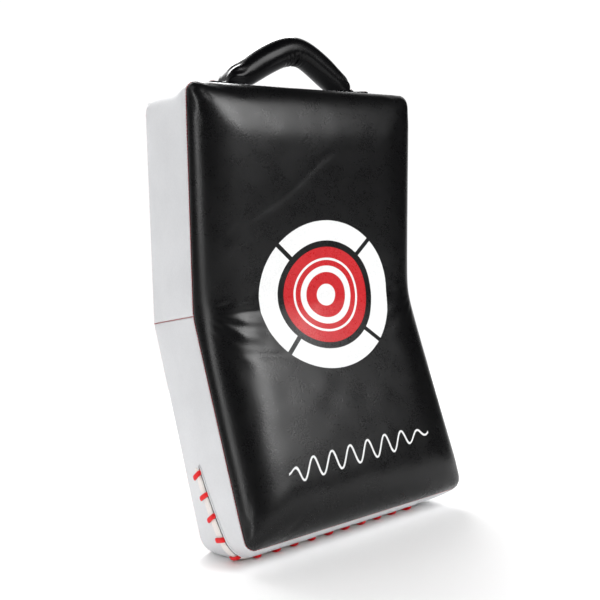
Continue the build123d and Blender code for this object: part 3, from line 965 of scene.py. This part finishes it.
def grip(body, loop, radius, landing, materials, seed):
    """A padded hand grip: its tube, the tabs under its ends and their stitching."""
    padded_tube(loop, radius, landing, materials["handle"], seed)
    runs = []
    inner = landing + FLAP_REACH + 3 * MM
    box = stitched_box(inner, loop.tab_end - 4.5 * MM, loop.tab_width / 2 - 4 * MM)
    on_flap = landing + FLAP_REACH - 2.9 * MM
    flap_row = (on_flap, -12 * MM), (on_flap, 12 * MM)
    for side in (-1, 1):
        leather_tab(body, loop, side, landing - 16 * MM, materials["handle"])
        for start, end in box:
            runs.append(sewn_line(body, loop, side, start, end, TAB_THICKNESS + 0.1 * MM, inner))
        runs.append(sewn_line(body, loop, side, *flap_row, TAB_THICKNESS + 3 * MM))
    stitched(loop.name + "_thread", runs, TAB_STITCH, 0.1 * MM, materials["thread"], seed,
             loop.name + "_stitches")


def band_relief(half_length, seed, flatness):
    """An arm band's edge grooves, its unevenness and the wrinkles on its inner side."""
    def relief(run, angle):
        across = BAND_HALF_WIDTH * np.cos(angle)
        loose = smooth(1 - flatness(run))
        side = np.abs(across) - BAND_HALF_WIDTH + 6 * MM
        groove = -0.9 * MM * bump(side / (2.6 * MM)) * loose
        places = np.stack([run, across, 8 * MM * np.sin(angle)], -1)
        uneven = 0.5 * MM * soft_noise(places, 26 * MM, seed)
        inner = smooth(-np.sin(angle) * 2)
        wander = 1.6 * soft_noise(places, 22 * MM, seed + 1)
        wrinkle = 0.55 * MM * inner * np.sin(run / (2.1 * MM) + wander) * loose
        return (groove + uneven + wrinkle) * smooth((half_length - np.abs(run)) / (8 * MM))
    return relief


def arm_band(body, loop, materials, seed):
    """A wide padded band for the forearm, with flat ends that are box-stitched to the back."""
    landing = np.array([loop.tab_end - BAND_LANDING, 2.6 * MM - HINGE_LIFT])
    line, run = loop.arch_line(BAND_ARC, landing, 300)

    def flatness(place):
        return smooth((np.abs(place) - run[-1] + 62 * MM) / (36 * MM))

    half_height = BAND_HALF_HEIGHT + (BAND_END_HALF_HEIGHT - BAND_HALF_HEIGHT) * flatness(run)
    tip = rounded_tip(run, 3 * MM)
    points, place, faces = swept(line, BAND_HALF_WIDTH * tip, half_height * tip, np.full(len(run), 3.6),
                                 band_relief(run[-1], seed, flatness), sides=96)
    points[:, 2] = np.maximum(points[:, 2], 0.1 * MM - HINGE_LIFT)
    loop_cover(loop, "band", (points, place, faces), materials["handle"], 29 * MM, "loop_leather", 0.8,
               "tab_left", "tab_right")
    box = stitched_box(loop.tab_end - 30 * MM, loop.tab_end - 4 * MM, 22 * MM, crossed=True)
    runs = [sewn_line(body, loop, side, start, end, 5.1 * MM) for side in (-1, 1) for start, end in box]
    stitched(loop.name + "_thread", runs, TAB_STITCH, 0.05 * MM, materials["thread"], seed,
             loop.name + "_stitches")


# ---- materials ----
class Number:
    """A number that varies over a surface, with the usual arithmetic, made of Math nodes."""

    def __init__(self, tree, socket):
        self.tree = tree
        self.socket = socket

    def calculate(self, operation, *others):
        node = self.tree.nodes.new("ShaderNodeMath")
        node.operation = operation
        for socket, value in zip(node.inputs, (self, *others)):
            if isinstance(value, Number):
                self.tree.links.new(value.socket, socket)
            else:
                socket.default_value = value
        return Number(self.tree, node.outputs[0])

    def __add__(self, other):
        return self.calculate("ADD", other)

    def __sub__(self, other):
        return self.calculate("SUBTRACT", other)

    def __mul__(self, other):
        return self.calculate("MULTIPLY", other)

    def __truediv__(self, other):
        return self.calculate("DIVIDE", other)

    def sine(self):
        return self.calculate("SINE")

    def cosine(self):
        return self.calculate("COSINE")

    def size(self):
        return self.calculate("ABSOLUTE")

    def root(self):
        return self.calculate("SQRT")

    def lower(self, other):
        return self.calculate("MINIMUM", other)

    def higher(self, other):
        return self.calculate("MAXIMUM", other)

    def rise(self, low, high):
        """0 at low and 1 at high, with a smooth rise between."""
        node = self.tree.nodes.new("ShaderNodeMapRange")
        node.interpolation_type = "SMOOTHSTEP"
        self.tree.links.new(self.socket, node.inputs["Value"])
        node.inputs["From Min"].default_value = low
        node.inputs["From Max"].default_value = high
        return Number(self.tree, node.outputs["Result"])

    def less_than(self, limit, soft=0.25 * MM):
        """1 where the number is below a limit, with a soft edge."""
        return (self - limit).rise(soft, -soft)


class Surface:
    """A material: its shader, the places on its piece and its patterns."""

    def __init__(self, name, roughness, **settings):
        self.material = bpy.data.materials.new(name)
        self.material.use_nodes = True
        self.tree = self.material.node_tree
        self.shader = self.tree.nodes["Principled BSDF"]
        self.shader.inputs["Roughness"].default_value = roughness
        for key, value in settings.items():
            self.shader.inputs[key.replace("_", " ")].default_value = value
        attribute = self.tree.nodes.new("ShaderNodeAttribute")
        attribute.attribute_name = "place"
        self.use_places(attribute.outputs["Vector"])

    def use_places(self, socket):
        self.place = socket
        split = self.tree.nodes.new("ShaderNodeSeparateXYZ")
        self.tree.links.new(socket, split.inputs[0])
        self.x, self.y, self.z = [Number(self.tree, output) for output in split.outputs]

    def use_object_places(self):
        """For a piece carried over from the frame, which has no places of its own."""
        self.use_places(self.tree.nodes.new("ShaderNodeTexCoord").outputs["Object"])

    def noise(self, size, detail=2):
        node = self.tree.nodes.new("ShaderNodeTexNoise")
        node.inputs["Scale"].default_value = 1 / size
        node.inputs["Detail"].default_value = detail
        self.tree.links.new(self.place, node.inputs["Vector"])
        return Number(self.tree, node.outputs["Fac"])

    def cells(self, size):
        """The distance to the middle of the nearest of many cells, in cell sizes."""
        node = self.tree.nodes.new("ShaderNodeTexVoronoi")
        node.feature = "SMOOTH_F1"
        node.inputs["Smoothness"].default_value = 0.35
        node.inputs["Scale"].default_value = 1 / size
        self.tree.links.new(self.place, node.inputs["Vector"])
        return Number(self.tree, node.outputs["Distance"])

    def mixed(self, amount, first, second):
        """A colour between two, each a colour socket or a plain colour."""
        node = self.tree.nodes.new("ShaderNodeMix")
        node.data_type = "RGBA"
        self.tree.links.new(amount.socket, node.inputs["Factor"])
        for key, value in (("A", first), ("B", second)):
            socket = [item for item in node.inputs if item.name == key and item.type == "RGBA"][0]
            if isinstance(value, bpy.types.NodeSocket):
                self.tree.links.new(value, socket)
            else:
                socket.default_value = (*value, 1)
        return [item for item in node.outputs if item.type == "RGBA"][0]

    def set_color(self, color):
        self.tree.links.new(color, self.shader.inputs["Base Color"])

    def set_roughness(self, number):
        self.tree.links.new(number.socket, self.shader.inputs["Roughness"])

    def set_bump(self, height, depth):
        node = self.tree.nodes.new("ShaderNodeBump")
        node.inputs["Strength"].default_value = 1
        node.inputs["Distance"].default_value = depth
        self.tree.links.new(height.socket, node.inputs["Height"])
        self.tree.links.new(node.outputs["Normal"], self.shader.inputs["Normal"])


def waves(number, pitch):
    """A sine wave along a number, one cycle for each pitch."""
    return (number * (2 * math.pi / pitch)).sine()


COARSE_GRAIN = (1.5 * MM, 0.12 * MM)  # the size and the depth of a leather's domes
FINE_GRAIN = (1.1 * MM, 0.05 * MM)
BLACK = ((0.0018, 0.0018, 0.002), (0.0042, 0.0042, 0.0045))
GLOSS_BLACK = ((0.0015, 0.0015, 0.0018), (0.003, 0.003, 0.0033))


def artificial_leather(name, colors, roughness, shine, grain, depth):
    """Black leather grained with small domes, a little lighter and smoother where it stands proud."""
    surface = Surface(name, roughness, Specular_IOR_Level=shine)
    domes = surface.cells(grain) * -1 + 1
    fine = surface.noise(grain * 0.55, 3)
    broad = surface.noise(7 * MM, 4)
    height = domes * 0.55 + fine * 0.3 + broad * 0.35
    tone = surface.noise(45 * MM, 3) * 0.5 + height * 0.5
    surface.set_color(surface.mixed(tone.rise(0.3, 0.8), *colors))
    surface.set_roughness(surface.noise(30 * MM, 3) * 0.12 + height * 0.1 + (roughness - 0.11))
    surface.set_bump(height, depth)
    return surface


TARGET_CENTRE = (3 * MM, 8 * MM)
DISC_RADIUS = 67 * MM
DOT_RADIUS = 15 * MM
RING = (90 * MM, 14 * MM)             # each ring's middle radius and half width
INNER_RINGS = ((50 * MM, 1.6 * MM), (36 * MM, 4.5 * MM))
RING_GAP = 3.2 * MM                   # half the width of the ring's diagonal gaps
WAVE_START = (-113 * MM, -214 * MM)
WAVE_END = (117 * MM, -204 * MM)
WAVE_LENGTH = 29 * MM
WAVE_SIZE = 12 * MM
WAVE_SLANT = 0.25
WAVE_STROKE = 1.25 * MM               # half the width of its line
RED = ((0.37, 0.010, 0.014), (0.44, 0.017, 0.021))
WHITE = ((0.60, 0.605, 0.605), (0.67, 0.675, 0.675))


def printed_wave(surface, ragged):
    """1 on the printed wave's line, which grows and then tapers along its run."""
    run = (WAVE_END[0] - WAVE_START[0], WAVE_END[1] - WAVE_START[1])
    length = math.hypot(*run)
    x = surface.x - WAVE_START[0]
    s = surface.y - WAVE_START[1]
    across = (s * run[0] - x * run[1]) / length
    along = (x * run[0] + s * run[1]) / length - across * WAVE_SLANT
    swing = along * (2 * math.pi / WAVE_LENGTH)
    taper = along.rise(length - 70 * MM, length + 6 * MM) * -0.75 + 1
    size = along.rise(-6 * MM, 25 * MM) * taper * WAVE_SIZE
    slope = swing.cosine() * size * (2 * math.pi / WAVE_LENGTH)
    distance = (across - swing.sine() * size).size() / (slope * slope + 1).root()
    within = (along - length / 2).size().less_than(length / 2)
    return (distance + ragged * 0.6).less_than(WAVE_STROKE) * within


def strike_face_material():
    """Black leather with a printed target, and a printed wave below it."""
    surface = artificial_leather("strike_face_leather", BLACK, 0.28, 0.26, *COARSE_GRAIN)
    ragged = (surface.noise(1.1 * MM, 3) - 0.5) * (0.5 * MM)
    x = surface.x - TARGET_CENTRE[0]
    s = surface.y - TARGET_CENTRE[1]
    radius = (x * x + s * s).root() + ragged

    def ring(middle, half_width):
        return (radius - middle).size().less_than(half_width)

    disc = radius.less_than(DISC_RADIUS)
    from_diagonal = ((x - s) / math.sqrt(2)).size().lower(((x + s) / math.sqrt(2)).size())
    outer = ring(*RING) * (from_diagonal.less_than(RING_GAP) * -1 + 1)
    inner = radius.less_than(DOT_RADIUS) + ring(*INNER_RINGS[0]) + ring(*INNER_RINGS[1])
    white = (outer + disc * inner + printed_wave(surface, ragged)).lower(1)
    wear = surface.noise(1.6 * MM, 4).rise(0.2, 0.5) * 0.06 + 0.94
    mottled = surface.noise(2.2 * MM, 4).rise(0.3, 0.7)
    leather = surface.shader.inputs["Base Color"].links[0].from_socket
    printed = surface.mixed(disc * wear, leather, surface.mixed(mottled, *RED))
    surface.set_color(surface.mixed(white * wear, printed, surface.mixed(mottled, *WHITE)))
    return surface.material


def gusset_material():
    """Silver artificial leather with a fine diagonal weave pressed into it."""
    surface = Surface("silver_gusset", 0.46, Metallic=0.12)
    run = surface.x + surface.y
    weave = waves(run + surface.z, 2.3 * MM) * waves(run - surface.z, 2.3 * MM) * 0.5 + 0.5
    height = weave * 0.5 + surface.noise(0.8 * MM, 3) * 0.5
    tone = surface.noise(60 * MM, 3) * 0.5 + surface.noise(3 * MM, 3) * 0.25 + height * 0.25
    surface.set_color(surface.mixed(tone.rise(0.25, 0.75), (0.57, 0.575, 0.59), (0.66, 0.665, 0.68)))
    surface.set_roughness(surface.noise(25 * MM, 2) * 0.12 + 0.4)
    surface.set_bump(height, 0.10 * MM)
    return surface.material


def thread_material():
    """Twisted red thread."""
    surface = Surface("red_thread", 0.55)
    twist = waves(surface.x + (surface.y + surface.z) * 1.4, 0.75 * MM) * 0.5 + 0.5
    tone = twist * 0.6 + surface.noise(0.6 * MM) * 0.4
    surface.set_color(surface.mixed(tone, (0.30, 0.008, 0.010), (0.55, 0.02, 0.02)))
    surface.set_bump(twist, 0.12 * MM)
    return surface.material


def lace_material():
    """Flat braided red cord."""
    surface = Surface("red_lace", 0.6, Specular_IOR_Level=0.25)
    pitch = 2.2 * MM
    braid = waves(surface.x + surface.y, pitch).higher(waves(surface.x - surface.y, pitch)) * 0.5 + 0.5
    tone = braid * 0.7 + surface.noise(0.35 * MM, 3) * 0.3
    surface.set_color(surface.mixed(tone.rise(0.15, 0.95), (0.50, 0.003, 0.004), (0.86, 0.008, 0.012)))
    surface.set_bump(tone, 0.35 * MM)
    return surface.material


def tape_material():
    """Off-white twill tape."""
    surface = Surface("white_tape", 0.8, Sheen_Weight=0.2)
    twill = waves(surface.x + surface.y * 1.7, 2.6 * MM) * 0.5 + 0.5
    warp = waves(surface.y, 0.9 * MM) * 0.5 + 0.5
    height = twill * 0.6 + warp * 0.25 + surface.noise(0.4 * MM, 2) * 0.15
    surface.set_color(surface.mixed(height.rise(0.05, 0.7), (0.66, 0.57, 0.54), (0.86, 0.84, 0.81)))
    surface.set_bump(height, 0.3 * MM)
    return surface.material


def webbing_material():
    """Black woven webbing."""
    surface = Surface("black_webbing", 0.75)
    surface.use_object_places()
    height = waves(surface.x, 1.8 * MM) * waves(surface.y + surface.z, 1.4 * MM) * 0.5 + 0.5
    surface.set_color(surface.mixed(height, (0.010, 0.010, 0.011), (0.026, 0.026, 0.028)))
    surface.set_bump(height, 0.3 * MM)
    return surface.material


def foam_material():
    """Dark grey open-cell foam."""
    surface = Surface("core_foam_cells", 0.9)
    surface.use_object_places()
    height = surface.cells(3 * MM)
    surface.set_color(surface.mixed(height.rise(0.1, 0.7), (0.34, 0.34, 0.36), (0.10, 0.10, 0.11)))
    surface.set_bump(height, 0.4 * MM)
    return surface.material


def slit_painted_shade_material():
    """Painted shade: a near-black colour that stands in for the shadow inside the stuffing slit."""
    surface = Surface("slit_painted_shade", 0.8)
    # This near-black colour is painted shade, not the colour of a lining.
    surface.set_color(surface.mixed(surface.noise(2 * MM, 3), (0.012, 0.012, 0.012), (0.035, 0.034, 0.034)))
    surface.set_bump(surface.noise(0.7 * MM, 3), 0.2 * MM)
    return surface.material


def all_materials():
    return {
        "handle": artificial_leather("handle_leather", GLOSS_BLACK, 0.24, 0.12, *FINE_GRAIN).material,
        "back": artificial_leather("back_leather", BLACK, 0.30, 0.26, *COARSE_GRAIN).material,
        "face": strike_face_material(),
        "gusset": gusset_material(),
        "thread": thread_material(),
        "lace": lace_material(),
        "tape": tape_material(),
        "painted_slit_shade": slit_painted_shade_material(),
        "webbing": webbing_material(),
        "core_foam": foam_material(),
    }


# ---- the whole shield ----
PANELS = {                            # each panel's material, the nodes it stands for and its slot
    "strike_face": ("face", ["front_cover", "impact_foam"], "face_leather"),
    "back_panel": ("back", ["back_cover", "backing_foam"], "back_leather"),
    "gusset_upper": ("gusset", ["gusset_upper"], "gusset_leather"),
    "gusset_lower": ("gusset", ["gusset_lower"], "gusset_leather"),
}
SEAMS = {                             # each seam's lines
    "front_seam": ["front"],
    "back_seam": ["rear"],
    "gusset_join": ["join_left", "join_right"],
}


def build_shield():
    materials = all_materials()
    body = Body()
    for name, (material, nodes, slot) in PANELS.items():
        piece = body.panel(name, materials[material], nodes)
    for seed, (name, kinds) in enumerate(SEAMS.items(), 60):
        stitched(name + "_stitches", [body.seam(kind) for kind in kinds], SEAM_STITCH, 0.45 * MM,
                 materials["thread"], seed, name + "_thread")
    closure(body, materials)
    top = Loop("top_handle", UP, span=164 * MM, height=49 * MM, tab_end=128 * MM, tab_width=36 * MM)
    grip(body, top, radius=18.5 * MM, landing=89 * MM, materials=materials, seed=71)
    rear = Loop("rear_grip", BACK_UPPER, span=136 * MM, height=48 * MM, tab_end=100 * MM, tab_width=36 * MM)
    grip(body, rear, radius=15 * MM, landing=78 * MM, materials=materials, seed=81)
    for name, outward, seed in (("upper_arm_loop", BACK_UPPER, 91), ("lower_arm_loop", BACK_LOWER, 101)):
        loop = Loop(name, outward, span=196 * MM, height=63 * MM, tab_end=130 * MM, tab_width=56 * MM)
        arm_band(body, loop, materials, seed)
    for name in frame["nodes"]:
        material = "webbing" if name.endswith("_reinforcement") else name
        if material in ("webbing", "core_foam"):
            for holder in frame["nodes"][name].material_slots:
                holder.material = materials[material]


build_shield()

# ---- the stage, the lights and the camera ----
FLOOR_RADIUS = 1.7
WORLD_STRENGTH = 1.04
SOFTBOXES = {                         # place, target, width, height and power
    "key": ((0.55, -1.75, 1.25), (0, 0, 0.3), 0.95, 1.2, 50),
    "left_front": ((-1.95, -0.8, 0.7), (0, 0, 0.35), 0.5, 1.4, 16),
    "top_left": ((-1.3, -0.4, 1.8), (0, 0, 0.3), 0.9, 0.9, 4),
    "back": ((0.4, 1.7, 2.1), (0.3, 0.9, 0), 2.0, 1.0, 70),
}
CAMERA_OFFSET = Vector((-0.6115, -0.8844, 0.0340))      # from the middle of the bend's seam
CAMERA_YAW, CAMERA_PITCH, CAMERA_ROLL = (math.radians(angle) for angle in (34.08, -1.51, 5.30))
LENS, SENSOR = 47.4, 36               # in millimetres


def stage():
    surface = Surface("pale_floor", 0.85)
    surface.use_object_places()
    surface.set_color(surface.mixed(surface.noise(0.5, 3), (0.88, 0.88, 0.88), (0.91, 0.91, 0.91)))
    rim = [(FLOOR_RADIUS * math.cos(turn), FLOOR_RADIUS * math.sin(turn), 0)
           for turn in np.linspace(0, 2 * math.pi, 96, endpoint=False)]
    floor = new_piece("stage_floor", rim, [tuple(range(96))], [surface.material])


def world():
    """A studio that is white all round to the camera, but lights the shield from behind only."""
    sky = bpy.data.worlds.new("studio")
    bpy.context.scene.world = sky
    sky.use_nodes = True
    tree = sky.node_tree
    split = tree.nodes.new("ShaderNodeSeparateXYZ")
    tree.links.new(tree.nodes.new("ShaderNodeTexCoord").outputs["Generated"], split.inputs[0])
    seen = Number(tree, tree.nodes.new("ShaderNodeLightPath").outputs["Is Camera Ray"])
    strength = Number(tree, split.outputs["Y"]).rise(0.2, 0.5).higher(seen) * WORLD_STRENGTH
    tree.links.new(strength.socket, tree.nodes["Background"].inputs["Strength"])
    tree.nodes["Background"].inputs["Color"].default_value = (1, 1, 1, 1)
    bpy.context.scene.view_settings.view_transform = "Standard"


def softbox(name, location, target, width, height, power):
    light = bpy.data.lights.new(name, "AREA")
    light.shape = "RECTANGLE"
    light.size = width
    light.size_y = height
    light.energy = power
    lamp = bpy.data.objects.new(name, light)
    bpy.context.scene.collection.objects.link(lamp)
    lamp.location = location
    lamp.rotation_euler = (Vector(target) - Vector(location)).to_track_quat("-Z", "Y").to_euler()


def camera():
    """The camera, placed by its distance and angles from the bend."""
    level = math.cos(CAMERA_PITCH)
    forward = Vector((math.sin(CAMERA_YAW) * level, math.cos(CAMERA_YAW) * level, math.sin(CAMERA_PITCH)))
    level_right = forward.cross(Vector((0, 0, 1))).normalized()
    level_up = level_right.cross(forward)
    right = level_right * math.cos(CAMERA_ROLL) - level_up * math.sin(CAMERA_ROLL)
    axes = Matrix((right, right.cross(forward), -forward)).transposed().to_4x4()
    lens = bpy.data.cameras.new("camera")
    lens.sensor_width = SENSOR
    lens.lens = LENS
    seat = bpy.data.objects.new("camera", lens)
    bpy.context.scene.collection.objects.link(seat)
    seat.matrix_world = Matrix.Translation(Vector(BEND) + CAMERA_OFFSET) @ axes
    bpy.context.scene.camera = seat


stage()
world()
for name, settings in SOFTBOXES.items():
    softbox("softbox_" + name, *settings)
camera()
